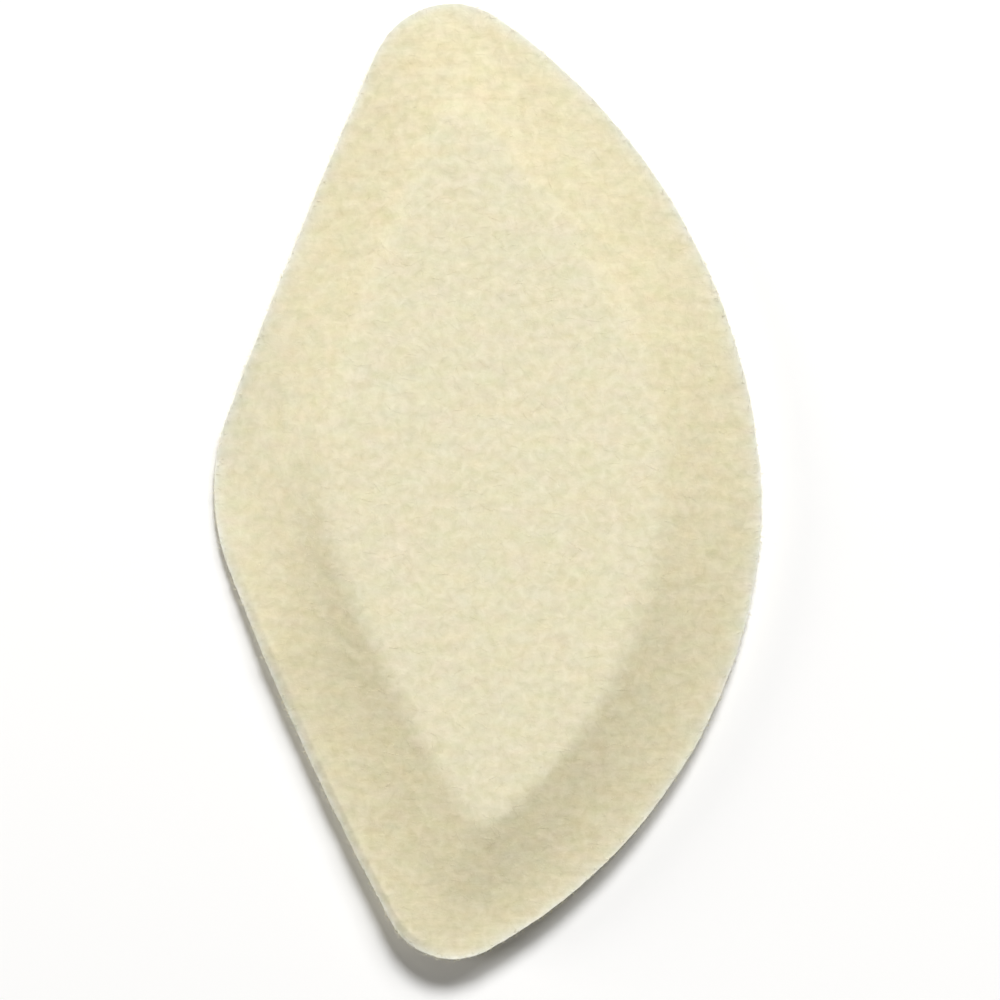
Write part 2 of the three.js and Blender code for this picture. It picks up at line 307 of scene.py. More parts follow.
def felt_rings(size):
    """Rings from the middle of the underside, round the wall and over the top, in millimetres.

    Each ring is (points, heights, share of skived border, nearness to the rim, share of wall).
    """
    quarter, share = ring_places()
    thickness = size.thickness / MM
    lean, arris = size.wall_lean / MM, size.arris / MM
    reach = size.shoulder_reach / MM
    edge, edge_out = cut_edge(size).ring(quarter, share)
    from_front = size.length / 2 - edge.imag * MM
    from_rear = size.length - from_front
    near_front = np.clip(1 - from_front / size.tip_rim_length, 0, 1) ** TIP_RIM_CURVE
    near_rear = np.clip(1 - from_rear / size.tip_rim_length, 0, 1) ** TIP_RIM_CURVE
    rim = size.rim + (size.front_rim - size.rim) * near_front
    rim = rim + (size.rear_rim - size.rim) * near_rear
    corner = complex(-size.width / MM / 2, CORNER_Y)
    near_corner = 1 - smooth(0, size.corner_rim_reach / MM, abs(edge - corner))
    rim = (rim - (size.rim - size.corner_rim) * near_corner) / MM
    shoulder, shoulder_out = raised_middle(size).ring(quarter, share)
    after = np.roll(HOLLOWS, -1)
    hollow = np.array(HOLLOWS)[quarter] * (1 - share) + after[quarter] * share
    rim_line = edge - edge_out * (lean + arris)
    width = abs(rim_line - shoulder)

    rolled = (quarter == REAR_CORNER_SIDE) * smooth(ROLL_FROM, ROLL_FULL, share)
    rolled = rolled * (1 - smooth(ROLL_FADES, ROLL_ENDS, share))
    roll_drop, roll_width = size.roll_drop / MM, size.roll_width / MM
    waver = mixed_waves([(p.real, p.imag, 0) for p in edge], EDGE_WAVES) * size.edge_waver / MM

    def drop(inset):
        return roll_drop * rolled * np.clip(1 - (inset - lean) / roll_width, 0, 1) ** ROLL_CURVE

    spread = (size.fluff + size.roll_spread * rolled) / MM + waver

    def moved(points, inset):
        return points + edge_out * spread * (1 - smooth(0, SPREAD_FADE, inset))

    def nearness(inset):
        return np.exp(-np.maximum(inset, 0) / RIM_FADE)

    def top_height(beyond):
        # The shoulder is a parabola, one reach wide on both sides of its line.
        low = np.maximum(beyond + reach, 0) ** 2 / (4 * reach)
        eased = np.where(beyond < reach, low, beyond)
        risen = np.clip(1 - eased / width, 0, 1) ** hollow
        inset = np.maximum(width - beyond, 0)
        dip = (1 - np.exp(-inset / CURL_REACH)) * (1 - smooth(DIP_FROM, DIP_TO, inset))
        return rim + (thickness - rim) * risen - size.rear_curl / MM * near_rear * dip

    def skived_at(points, beyond):
        share_skived = smooth(SKIVED_FROM * reach, SKIVED_FULL * reach, beyond)
        # Painted light: near that place the border's darker colour gives way to the middle's
        painted_light = np.exp(-((abs(points - PAINTED_LIGHT_PLACE) / PAINTED_LIGHT_REACH) ** 2))
        return share_skived * (1 - PAINTED_LIGHT_DEPTH * painted_light)

    none, ones, rings = np.zeros(len(edge)), np.ones(len(edge)), []
    under = spine_of(edge, UNDERSIDE_PULL)
    for step in range(UNDERSIDE_STEPS):
        t = (step / UNDERSIDE_STEPS) ** UNDERSIDE_EASE
        points = under + (edge - edge_out * LOW_CHAMFER - under) * t
        rings.append((moved(points, SPREAD_FADE * (1 - t)), none, ones, none, none))
    wall_top = rim - arris - drop(lean)
    for step in range(WALL_STEPS):
        t = step / WALL_STEPS
        inset = lean * t + (0 if step else LOW_CHAMFER)
        rings.append((moved(edge - edge_out * inset, 0), wall_top * t, ones, ones, ones))
    for step in range(ARRIS_STEPS):
        turn = step / ARRIS_STEPS * math.pi / 2
        inset = lean + arris * (1 - math.cos(turn))
        height = rim - arris * (1 - math.sin(turn)) - drop(inset)
        wall = ones * math.cos(turn) ** 2
        points = edge - edge_out * inset
        skived = skived_at(points, width)
        rings.append((moved(points, inset), height, skived, nearness(inset) * ones, wall))
    for step in range(LIP_STEPS):
        along = LIP_WIDTH * step / LIP_STEPS
        beyond = width - along
        inset = lean + arris + along
        points = shoulder + (rim_line - shoulder) * beyond / width
        height = top_height(beyond) - drop(inset)
        skived = skived_at(points, beyond)
        rings.append((moved(points, inset), height, skived, nearness(inset) * ones, none))
    for step in range(SKIVE_STEPS + SHOULDER_STEPS):
        if step < SKIVE_STEPS:
            t = step / SKIVE_STEPS
            beyond = (width - LIP_WIDTH) * (1 - t) + reach * t
        else:
            beyond = ones * reach * (1 - 2 * (step - SKIVE_STEPS) / SHOULDER_STEPS)
        inset = lean + arris + width - beyond
        inner = shoulder + shoulder_out * beyond
        outer = shoulder + (rim_line - shoulder) * beyond / width
        points = np.where(beyond < 0, inner, outer)
        skived = skived_at(points, beyond)
        rings.append((moved(points, inset), top_height(beyond), skived, nearness(inset), none))
    inner = shoulder - shoulder_out * reach
    ridge = spine_of(inner, RIDGE_PULL)
    for step in range(MIDDLE_STEPS + 1):
        points = inner + (ridge - inner) * step / MIDDLE_STEPS
        rings.append((points, thickness * ones, none, none, none))
    return rings, edge_out


def felt_mesh(name, size):
    """Closed mesh of the felt, with its lumps in the shape and its masks as attributes."""
    rings, edge_out = felt_rings(size)
    count = len(edge_out)
    half = count // 2
    # The first and the last ring are folded flat onto a line, where both sides share points.
    folded = [min(i, count - i) for i in range(count)]
    numbers, points, outward = [], [], []
    values = {"skived": [], "rim": [], "wall": []}
    for row, (line, height, skived, rim, wall) in enumerate(rings):
        ends_here = row in (0, len(rings) - 1)
        kept = half + 1 if ends_here else count
        first = len(points)
        numbers.append([first + k for k in (folded if ends_here else range(count))])
        height = np.broadcast_to(height, line.shape)
        points += [(line[k].real, line[k].imag, height[k]) for k in range(kept)]
        outward += list(edge_out[:kept])
        for key, value in (("skived", skived), ("rim", rim), ("wall", wall)):
            values[key] += list(np.broadcast_to(value, line.shape)[:kept])
    points, outward, wall = np.array(points), np.array(outward), np.array(values["wall"])
    on_top = (points[:, 2] > 0) * (1 - wall)
    lumps = mixed_waves(points, LUMP_WAVES) * (size.lump_height / MM)
    points[:, 2] += lumps * on_top
    sideways = lumps * wall * smooth(0, WALL_LUMPS_FROM, points[:, 2])
    points[:, 0] += sideways * outward.real
    points[:, 1] += sideways * outward.imag

    faces = []
    for low, high in zip(numbers, numbers[1:]):
        for i in range(count):
            j = (i + 1) % count
            faces.append((low[i], low[j], high[j], high[i]))
    mesh = bpy.data.meshes.new(name)
    mesh.from_pydata((points * MM).tolist(), [], faces)
    mesh.shade_smooth()
    for key, value in values.items():
        layer = mesh.attributes.new(key, "FLOAT", "POINT")
        layer.data.foreach_set("value", np.array(value, np.float32))
    if mesh.validate(verbose=False):
        raise RuntimeError("the felt's mesh has faces that don't hold")
    return mesh


def node(tree, kind, inputs=None, **settings):
    """New node with its settings and inputs. An input is a value or another node's socket."""
    made = tree.nodes.new(kind)
    for key, value in settings.items():
        setattr(made, key, value)
    for key, value in (inputs or {}).items():
        socket = made.inputs[key]
        if isinstance(value, bpy.types.NodeSocket):
            tree.links.new(value, socket)
        else:
            socket.default_value = value
    return made


def math_node(tree, operation, *values, clamp=False):
    """Output of a math node with these inputs."""
    inputs = dict(enumerate(values))
    return node(tree, "ShaderNodeMath", inputs, operation=operation, use_clamp=clamp).outputs[0]


def vector_node(tree, operation, *values, **named):
    """Vector output of a vector math node with these inputs."""
    inputs = {**dict(enumerate(values)), **named}
    return node(tree, "ShaderNodeVectorMath", inputs, operation=operation).outputs[0]


def mix_colour(tree, share, a, b, blend="MIX"):
    """Colour a, with that share of colour b."""
    made = node(tree, "ShaderNodeMix", data_type="RGBA", blend_type=blend)
    for key, value in (("Factor_Float", share), ("A_Color", a), ("B_Color", b)):
        socket = next(s for s in made.inputs if s.identifier == key)
        if isinstance(value, bpy.types.NodeSocket):
            tree.links.new(value, socket)
        else:
            socket.default_value = value
    return next(s for s in made.outputs if s.identifier == "Result_Color")


def mask(tree, name):
    """One of the felt's own masks, read in a material."""
    return node(tree, "ShaderNodeAttribute", attribute_name=name).outputs["Fac"]


def remove_old(store, name):
    """Remove what was made before under that name."""
    old = store.get(name)
    if old:
        store.remove(old)


def shader_group(name, inputs, outputs):
    """Empty shader group with named sockets, given as (name, kind, default)."""
    remove_old(bpy.data.node_groups, name)
    tree = bpy.data.node_groups.new(name, "ShaderNodeTree")
    for title, kind, default in inputs:
        socket = tree.interface.new_socket(title, in_out="INPUT", socket_type=kind)
        if default is not None:
            socket.default_value = default
    for title, kind in outputs:
        tree.interface.new_socket(title, in_out="OUTPUT", socket_type=kind)
    return tree, tree.nodes.new("NodeGroupInput").outputs, tree.nodes.new("NodeGroupOutput").inputs


def material(name):
    """Empty material of that name and its tree."""
    remove_old(bpy.data.materials, name)
    made = bpy.data.materials.new(name)
    made.use_nodes = True
    made.node_tree.nodes.clear()
    return made, made.node_tree


def matted_wool_group():
    """Pattern of matted wool in coordinates of a millimetre: flecks, fibres and a slow tint."""
    tree, given, out = shader_group(
        "matted_wool",
        [
            ("Vector", "NodeSocketVector", None),
            ("Fleck size", "NodeSocketFloat", 1.0),
            ("Fibre size", "NodeSocketFloat", 0.5),
            ("Streaks", "NodeSocketFloat", 0.0),
        ],
        [
            ("Flecks", "NodeSocketFloat"),
            ("Fibres", "NodeSocketFloat"),
            ("Warmth", "NodeSocketFloat"),
            ("Blush", "NodeSocketFloat"),
        ],
    )
    where = given["Vector"]
    fleck_scale = math_node(tree, "DIVIDE", 1.0, given["Fleck size"])
    fibre_scale = math_node(tree, "DIVIDE", 1.0, given["Fibre size"])
    flecks = node(
        tree,
        "ShaderNodeTexNoise",
        {"Vector": where, "Scale": fleck_scale, **FLECK_NOISE},
    ).outputs["Fac"]
    fibres = node(
        tree,
        "ShaderNodeTexNoise",
        {"Vector": where, "Scale": fibre_scale, **FIBRE_NOISE},
        noise_type="RIDGED_MULTIFRACTAL",
    ).outputs["Fac"]
    drawn = vector_node(tree, "MULTIPLY", where, STREAK_STRETCH)
    streaks = node(tree, "ShaderNodeTexNoise", {"Vector": drawn, **STREAK_NOISE}).outputs["Fac"]
    streaks = math_node(tree, "SUBTRACT", streaks, 0.5)
    streaked = math_node(tree, "MULTIPLY", streaks, given["Streaks"])
    spread = vector_node(tree, "MULTIPLY", where, TINT_STRETCH)
    tints = node(tree, "ShaderNodeTexNoise", {"Vector": spread, **TINT_NOISE}).outputs["Color"]
    tints = node(tree, "ShaderNodeSeparateColor", {"Color": tints}).outputs
    tree.links.new(math_node(tree, "ADD", flecks, streaked), out["Flecks"])
    tree.links.new(fibres, out["Fibres"])
    tree.links.new(math_node(tree, "SUBTRACT", tints[0], 0.5), out["Warmth"])
    tree.links.new(math_node(tree, "SUBTRACT", tints[2], 0.5), out["Blush"])
    return tree


def wool_colour_group():
    """Plain wool colour with lighter and darker flecks and slow tints."""
    tree, given, out = shader_group(
        "wool_colour",
        [
            ("Colour", "NodeSocketColor", (0.8, 0.75, 0.55, 1)),
            ("Flecks", "NodeSocketFloat", 0.5),
            ("Fleck depth", "NodeSocketFloat", 0.1),
            ("Warmth", "NodeSocketFloat", 0.0),
            ("Blush", "NodeSocketFloat", 0.0),
            ("Tint depth", "NodeSocketFloat", 0.1),
        ],
        [("Colour", "NodeSocketColor")],
    )
    fleck = math_node(tree, "SUBTRACT", given["Flecks"], 0.5)
    light = math_node(tree, "MULTIPLY_ADD", fleck, given["Fleck depth"], 1.0)
    warmth = math_node(tree, "MULTIPLY", given["Warmth"], given["Tint depth"])
    blush = math_node(tree, "MULTIPLY", given["Blush"], given["Tint depth"])
    red = math_node(tree, "MULTIPLY_ADD", blush, BLUSH_IN_RED, light)
    green = math_node(tree, "MULTIPLY_ADD", blush, BLUSH_IN_GREEN, light)
    extra = math_node(tree, "MULTIPLY", given["Fleck depth"], FLECK_IN_BLUE)
    blue = math_node(tree, "MULTIPLY_ADD", fleck, extra, light)
    blue = math_node(tree, "MULTIPLY_ADD", warmth, WARMTH_IN_BLUE, blue)
    levels = {"Red": red, "Green": green, "Blue": blue}
    gain = node(tree, "ShaderNodeCombineColor", levels).outputs[0]
    tree.links.new(mix_colour(tree, 1.0, given["Colour"], gain, "MULTIPLY"), out["Colour"])
    return tree


def wool_pattern(tree, fleck_size, fibre_size, streaks=0.0):
    """Outputs of the matted wool pattern on an object, with sizes in millimetres."""
    where = node(tree, "ShaderNodeTexCoord").outputs["Object"]
    millimetres = node(tree, "ShaderNodeMapping", {"Vector": where, "Scale": (1 / MM,) * 3})
    values = {
        "Vector": millimetres.outputs[0],
        "Fleck size": fleck_size,
        "Fibre size": fibre_size,
        "Streaks": streaks,
    }
    group = bpy.data.node_groups.get("matted_wool") or matted_wool_group()
    return node(tree, "ShaderNodeGroup", values, node_tree=group).outputs


def wool_colour(tree, colour, pattern, fleck_depth, tint_depth):
    """The colour with the pattern's flecks and tints on it."""
    values = {
        "Colour": colour,
        "Flecks": pattern["Flecks"],
        "Fleck depth": fleck_depth,
        "Warmth": pattern["Warmth"],
        "Blush": pattern["Blush"],
        "Tint depth": tint_depth,
    }
    group = bpy.data.node_groups.get("wool_colour") or wool_colour_group()
    return node(tree, "ShaderNodeGroup", values, node_tree=group).outputs["Colour"]


def opaque(colour):
    """Colour with its fourth value."""
    return (*colour, 1.0)


def pressed_felt(look):
    """Pressed cream felt: a paler middle, a border that was skived, a fluffed cut edge with a
    painted glow and a painted highlight, and a painted lighter patch near the blunt corner.
    """
    made, tree = material("pressed_felt")
    skived, rim = mask(tree, "skived"), mask(tree, "rim")
    streaks = math_node(tree, "MULTIPLY", skived, look.streak_depth)
    pattern = wool_pattern(tree, look.fleck_size / MM, look.fibre_size / MM, streaks)
    colour = mix_colour(tree, skived, opaque(look.middle_colour), opaque(look.border_colour))
    # Painted light: the cut edge gets a paler colour, partly its fluffed wool and partly a painted
    # glow of lit fibres, and at the very edge a painted highlight of lit fuzz
    rim_glow = math_node(tree, "MULTIPLY", rim, RIM_GLOW_SHARE)
    colour = mix_colour(tree, rim_glow, colour, opaque(look.rim_wool_and_glow_colour))
    edge_highlight = math_node(tree, "MULTIPLY", math_node(tree, "POWER", rim, EDGE_HIGHLIGHT_CURVE), EDGE_HIGHLIGHT_SHARE)
    colour = mix_colour(tree, edge_highlight, colour, opaque(look.edge_highlight_colour))
    colour = mix_colour(tree, mask(tree, "wall"), colour, opaque(look.wall_colour))
    colour = wool_colour(tree, colour, pattern, look.fleck_depth, look.tint_depth)
    flecks = math_node(tree, "MULTIPLY", pattern["Flecks"], FLECK_RELIEF)
    height = math_node(tree, "MULTIPLY_ADD", pattern["Fibres"], FIBRE_RELIEF, flecks)
    relief = {"Strength": 1.0, "Distance": look.fibre_depth, "Height": height}
    bump = node(tree, "ShaderNodeBump", relief).outputs[0]
    levels = (pattern["Flecks"], FELT_ROUGHNESS_RISE, FELT_ROUGHNESS)
    rough = math_node(tree, "MULTIPLY_ADD", *levels, clamp=True)
    surface = node(
        tree,
        "ShaderNodeBsdfPrincipled",
        {
            "Base Color": colour,
            "Roughness": rough,
            "Normal": bump,
            "Specular IOR Level": 0.25,
            "Sheen Weight": 0.12,
            "Sheen Roughness": 0.6,
        },
    )
    out = node(tree, "ShaderNodeOutputMaterial", {"Surface": surface.outputs[0]})
    out.is_active_output = True
    return made


def loose_wool(look):
    """Single wool fibres that stand off the felt, a little paler than it, partly as a painted glow
    for light shining through the thin fibres.
    """
    made, tree = material("loose_wool")
    pattern = wool_pattern(tree, LOOSE_FLECK_SIZE, LOOSE_FIBRE_SIZE)
    colour = opaque(look.fibre_wool_and_glow_colour)
    colour = wool_colour(tree, colour, pattern, LOOSE_FLECK_DEPTH, look.tint_depth)
    levels = (pattern["Flecks"], LOOSE_ROUGHNESS_RISE, LOOSE_ROUGHNESS)
    rough = math_node(tree, "MULTIPLY_ADD", *levels, clamp=True)
    surface = node(
        tree,
        "ShaderNodeBsdfPrincipled",
        {"Base Color": colour, "Roughness": rough, "Specular IOR Level": 0.3, "Sheen Weight": 0.1},
    )
    node(tree, "ShaderNodeOutputMaterial", {"Surface": surface.outputs[0]})
    return made


def plain_paper(look):
    """Matte paper of the floor."""
    made, tree = material("stage_paper")
    surface = node(
        tree,
        "ShaderNodeBsdfPrincipled",
        {"Base Color": opaque(look.floor_colour), "Roughness": 1.0, "Specular IOR Level": 0.0},
    )
    node(tree, "ShaderNodeOutputMaterial", {"Surface": surface.outputs[0]})
    return made


FIBRE_INPUTS = (
    ("Fibres per area", "NodeSocketFloat"),
    ("Points", "NodeSocketInt"),
    ("Length", "NodeSocketFloat"),
    ("Thickness", "NodeSocketFloat"),
    ("Lowest lean", "NodeSocketFloat"),
    ("Highest lean", "NodeSocketFloat"),
    ("Arch", "NodeSocketFloat"),
    ("Curl", "NodeSocketFloat"),
    ("Rise", "NodeSocketFloat"),
    ("Seed", "NodeSocketInt"),
    ("Material", "NodeSocketMaterial"),
)


def stored_value(tree, name, kind="FLOAT"):
    """Attribute of that name, read in a geometry tree."""
    made = node(tree, "GeometryNodeInputNamedAttribute", {"Name": name}, data_type=kind)
    return next(s for s in made.outputs if s.name == "Attribute" and s.enabled)


def fibre_tree(name, where):
    """Tree that grows curled, tapered fibres on a mesh. where(tree) gives the share of density."""
    remove_old(bpy.data.node_groups, name)
    tree = bpy.data.node_groups.new(name, "GeometryNodeTree")
    tree.interface.new_socket("Geometry", in_out="INPUT", socket_type="NodeSocketGeometry")
    tree.interface.new_socket("Geometry", in_out="OUTPUT", socket_type="NodeSocketGeometry")
    for title, kind in FIBRE_INPUTS:
        tree.interface.new_socket(title, in_out="INPUT", socket_type=kind)
    given = tree.nodes.new("NodeGroupInput").outputs

    def random(low, high, seed):
        values = {"Min": low, "Max": high, "Seed": math_node(tree, "ADD", given["Seed"], seed)}
        made = node(tree, "FunctionNodeRandomValue", values, data_type="FLOAT")
        return next(s for s in made.outputs if s.enabled)

    density = math_node(tree, "MULTIPLY", given["Fibres per area"], where(tree))
    roots = node(
        tree,
        "GeometryNodeDistributePointsOnFaces",
        {"Mesh": given["Geometry"], "Density": density, "Seed": given["Seed"]},
        distribute_method="RANDOM",
    )
    stored = node(
        tree,
        "GeometryNodeStoreNamedAttribute",
        {
            "Geometry": roots.outputs["Points"],
            "Name": ROOT_NORMAL,
            "Value": roots.outputs["Normal"],
        },
        data_type="FLOAT_VECTOR",
        domain="POINT",
    )

    lean = random(given["Lowest lean"], given["Highest lean"], LEAN_SEED)
    spin = random(0.0, 2 * math.pi, SPIN_SEED)
    turn = {"Y": math_node(tree, "MULTIPLY", lean, -1.0), "Z": spin}
    turn = node(tree, "ShaderNodeCombineXYZ", turn).outputs[0]
    turned = node(tree, "FunctionNodeEulerToRotation", {"Euler": turn}).outputs[0]
    placed = node(
        tree,
        "FunctionNodeRotateRotation",
        {"Rotation": roots.outputs["Rotation"], "Rotate By": turned},
        rotation_space="LOCAL",
    ).outputs[0]
    share = random(SHORTEST_FIBRE, 1.0, LENGTH_SEED)
    length = math_node(tree, "MULTIPLY", given["Length"], share)
    size = node(tree, "ShaderNodeCombineXYZ", {"X": length, "Y": length, "Z": length})
    ends = {"Start": (0, 0, 0), "End": (1, 0, 0)}
    straight = node(tree, "GeometryNodeCurvePrimitiveLine", ends, mode="POINTS")
    straight = node(
        tree,
        "GeometryNodeResampleCurve",
        {"Curve": straight.outputs[0], "Count": given["Points"]},
        mode="COUNT",
    )
    standing = node(
        tree,
        "GeometryNodeInstanceOnPoints",
        {
            "Points": stored.outputs[0],
            "Instance": straight.outputs[0],
            "Rotation": placed,
            "Scale": size.outputs[0],
        },
    )
    real = node(tree, "GeometryNodeRealizeInstances", {"Geometry": standing.outputs[0]})

    along = node(tree, "GeometryNodeSplineParameter").outputs["Factor"]
    up = stored_value(tree, ROOT_NORMAL, "FLOAT_VECTOR")
    bow = math_node(tree, "SINE", math_node(tree, "MULTIPLY", along, math.pi))
    bow = math_node(tree, "MULTIPLY", bow, given["Arch"])
    root_depth = math_node(tree, "MULTIPLY", given["Thickness"], ROOT_DEPTH)
    lift = vector_node(tree, "SCALE", up, Scale=math_node(tree, "SUBTRACT", bow, root_depth))
    place = node(tree, "GeometryNodeInputPosition").outputs[0]
    curls = {"Vector": place, "Scale": SWIRL_SCALE, "Detail": 1.0}
    swirl = node(tree, "ShaderNodeTexNoise", curls).outputs["Color"]
    swirl = vector_node(tree, "SUBTRACT", swirl, (0.5, 0.5, 0.5))
    upward = node(tree, "ShaderNodeVectorMath", {0: swirl, 1: up}, operation="DOT_PRODUCT")
    held_down = math_node(tree, "SUBTRACT", 1.0, given["Rise"])
    upward = math_node(tree, "MULTIPLY", upward.outputs["Value"], held_down)
    swirl = vector_node(tree, "SUBTRACT", swirl, vector_node(tree, "SCALE", up, Scale=upward))
    reach = math_node(tree, "MULTIPLY", along, given["Curl"])
    curl = vector_node(tree, "SCALE", swirl, Scale=reach)
    moved = node(
        tree,
        "GeometryNodeSetPosition",
        {"Geometry": real.outputs[0], "Offset": vector_node(tree, "ADD", lift, curl)},
    )
    place = node(tree, "GeometryNodeInputPosition").outputs[0]
    xyz = node(tree, "ShaderNodeSeparateXYZ", {"Vector": place}).outputs
    clear = math_node(tree, "MAXIMUM", xyz["Z"], given["Thickness"])
    above = {"X": xyz["X"], "Y": xyz["Y"], "Z": clear}
    above = node(tree, "ShaderNodeCombineXYZ", above).outputs[0]
    moved = {"Geometry": moved.outputs[0], "Position": above}
    moved = node(tree, "GeometryNodeSetPosition", moved)
    lost = math_node(tree, "MULTIPLY", along, FIBRE_TAPER)
    taper = math_node(tree, "SUBTRACT", 1.0, lost)
    radius = math_node(tree, "MULTIPLY", given["Thickness"], 0.5)
    radius = math_node(tree, "MULTIPLY", radius, taper)
    section = {"Resolution": FIBRE_SIDES, "Radius": 1.0}
    section = node(tree, "GeometryNodeCurvePrimitiveCircle", section, mode="RADIUS")
    tubes = node(
        tree,
        "GeometryNodeCurveToMesh",
        {
            "Curve": moved.outputs[0],
            "Profile Curve": section.outputs[0],
            "Scale": radius,
            "Fill Caps": True,
        },
    )
    soft = node(tree, "GeometryNodeSetShadeSmooth", {"Geometry": tubes.outputs[0]})
    whole = node(tree, "GeometryNodeRealizeInstances", {"Geometry": soft.outputs[0]})
    dressed = node(
        tree,
        "GeometryNodeSetMaterial",
        {"Geometry": whole.outputs[0], "Material": given["Material"]},
    )
    tree.links.new(dressed.outputs[0], tree.nodes.new("NodeGroupOutput").inputs[0])
    return tree


def on_the_top(tree):
    """Every face of the upper side, and none of the wall or the underside."""
    normal = node(tree, "GeometryNodeInputNormal").outputs[0]
    z = node(tree, "ShaderNodeSeparateXYZ", {"Vector": normal}).outputs["Z"]
    faces_up = math_node(tree, "GREATER_THAN", z, FLAT_ENOUGH)
    off_wall = math_node(tree, "SUBTRACT", 1.0, stored_value(tree, "wall"))
    return math_node(tree, "MULTIPLY", faces_up, off_wall)


def on_the_wall(tree):
    """The cut wall, with most of the fibres on its upper half, and the edge above it."""
    wall = stored_value(tree, "wall")
    place = node(tree, "GeometryNodeInputPosition").outputs[0]
    z = node(tree, "ShaderNodeSeparateXYZ", {"Vector": place}).outputs["Z"]
    upper = math_node(tree, "GREATER_THAN", z, FUZZ_FROM * MM)
    share = math_node(tree, "MULTIPLY_ADD", upper, 1 - LOW_FUZZ, LOW_FUZZ)
    on_wall = math_node(tree, "MULTIPLY", wall, share)
    at_edge = math_node(tree, "GREATER_THAN", stored_value(tree, "rim"), EDGE_RIM)
    at_edge = math_node(tree, "MULTIPLY", at_edge, math_node(tree, "SUBTRACT", 1.0, wall))
    return math_node(tree, "MULTIPLY_ADD", at_edge, EDGE_FUZZ, on_wall)


def grow_fibres(name, tree, felt, values):
    """Plain mesh of the fibres that the tree grows on the felt."""
    carrier = bpy.data.objects.new(name + "_carrier", felt.data.copy())
    bpy.context.scene.collection.objects.link(carrier)
    modifier = carrier.modifiers.new("fibres", "NODES")
    modifier.node_group = tree
    for item in tree.interface.items_tree:
        if item.item_type == "SOCKET" and item.in_out == "INPUT" and item.name in values:
            modifier[item.identifier] = values[item.name]
    graph = bpy.context.evaluated_depsgraph_get()
    mesh = bpy.data.meshes.new_from_object(carrier.evaluated_get(graph))
    spare = carrier.data
    bpy.data.objects.remove(carrier)
    bpy.data.meshes.remove(spare)
    mesh.name = name
    normals = mesh.attributes.get(ROOT_NORMAL)
    if normals:
        mesh.attributes.remove(normals)
    if not mesh.polygons:
        raise RuntimeError(f"no fibres grew for {name}")
    return mesh


def placed_piece(name, mesh):
    """Object of that name, in place of an earlier one, at the origin."""
    remove_old(bpy.data.objects, name)
    piece = bpy.data.objects.new(name, mesh)
    bpy.context.scene.collection.objects.link(piece)
    return piece


def length_of(title, text, millimetres):
    """Setting that is a length."""
    return FloatProperty(
        name=title, description=text, default=millimetres * MM, min=0.0, unit="LENGTH", precision=5
    )


def angle_of(title, text, degrees):
    """Setting that is an angle."""
    return FloatProperty(
        name=title, description=text, default=math.radians(degrees), subtype="ANGLE"
    )


def number_of(title, text, value):
    """Setting that is a plain number."""
    return FloatProperty(name=title, description=text, default=value)


def place_of(title, text, millimetres):
    """Setting that is a place on an axis."""
    return FloatProperty(name=title, description=text, default=millimetres * MM, unit="LENGTH")


def amount_of(title, text, amount):
    """Setting that is a brightness or a density."""
    return FloatProperty(name=title, description=text, default=amount, min=0.0)


def colour_of(title, text, colour):
    """Setting that is a colour."""
    return FloatVectorProperty(
        name=title, description=text, default=colour, size=3, min=0.0, max=1.0, subtype="COLOR"
    )


class FeltPadSize(bpy.types.PropertyGroup):
    length: length_of("Length", "Front tip to rear tip", (PAD_HIGH.y - PAD_LOW.y) / MM)
    width: length_of("Width", "Blunt corner to crown", (PAD_HIGH.x - PAD_LOW.x) / MM)
    thickness: length_of("Thickness", "Whole felt at the raised middle", PAD_HIGH.z / MM)
    rim: length_of("Rim", "Felt left at the cut edge", 2.2)
    front_rim: length_of("Front rim", "Felt left at the front tip", 2.8)
    rear_rim: length_of("Rear rim", "Felt left at the rear tip", 3.3)
    tip_rim_length: length_of("Tip rim length", "The rim thickens over this to each tip", 22.0)
    corner_rim: length_of("Corner rim", "Felt left at the blunt corner", 0.8)
    corner_rim_reach: length_of("Corner rim reach", "The rim thins over this distance to it", 19.0)
    rear_curl: length_of("Rear curl", "How far the rear tip's lip curls up", 0.22)
    wall_lean: length_of("Wall lean", "How far the cut wall leans in on its way up", 0.02)
    arris: length_of("Arris", "Radius of the wall's upper edge", 0.05)
    front_skive: length_of("Front skive", "Width of the border at the front tip", 10.8)
    corner_skive: length_of("Corner skive", "Width of the border at the blunt corner", 10.7)
    rear_skive: length_of("Rear skive", "Width of the border at the rear tip", 13.1)
    crown_skive: length_of("Crown skive", "Width of the border at the crown", 10.3)
    shoulder_reach: length_of("Shoulder", "Half width of the rounded shoulder", 1.1)
    roll_width: length_of("Roll width", "Width of the rolled lip on the rear corner side", 0.95)
    roll_drop: length_of("Roll drop", "How far that lip drops at the edge", 0.44)
    roll_spread: length_of("Roll spread", "How far that lip is pressed outwards", 0.08)
    fluff: length_of("Fluff", "How far the cut edge has fluffed out past its line", 0.05)
    edge_waver: length_of("Edge waver", "How far the cut edge strays", 0.06)
    lump_height: length_of("Lumps", "Height of the felt's own unevenness", 0.09)


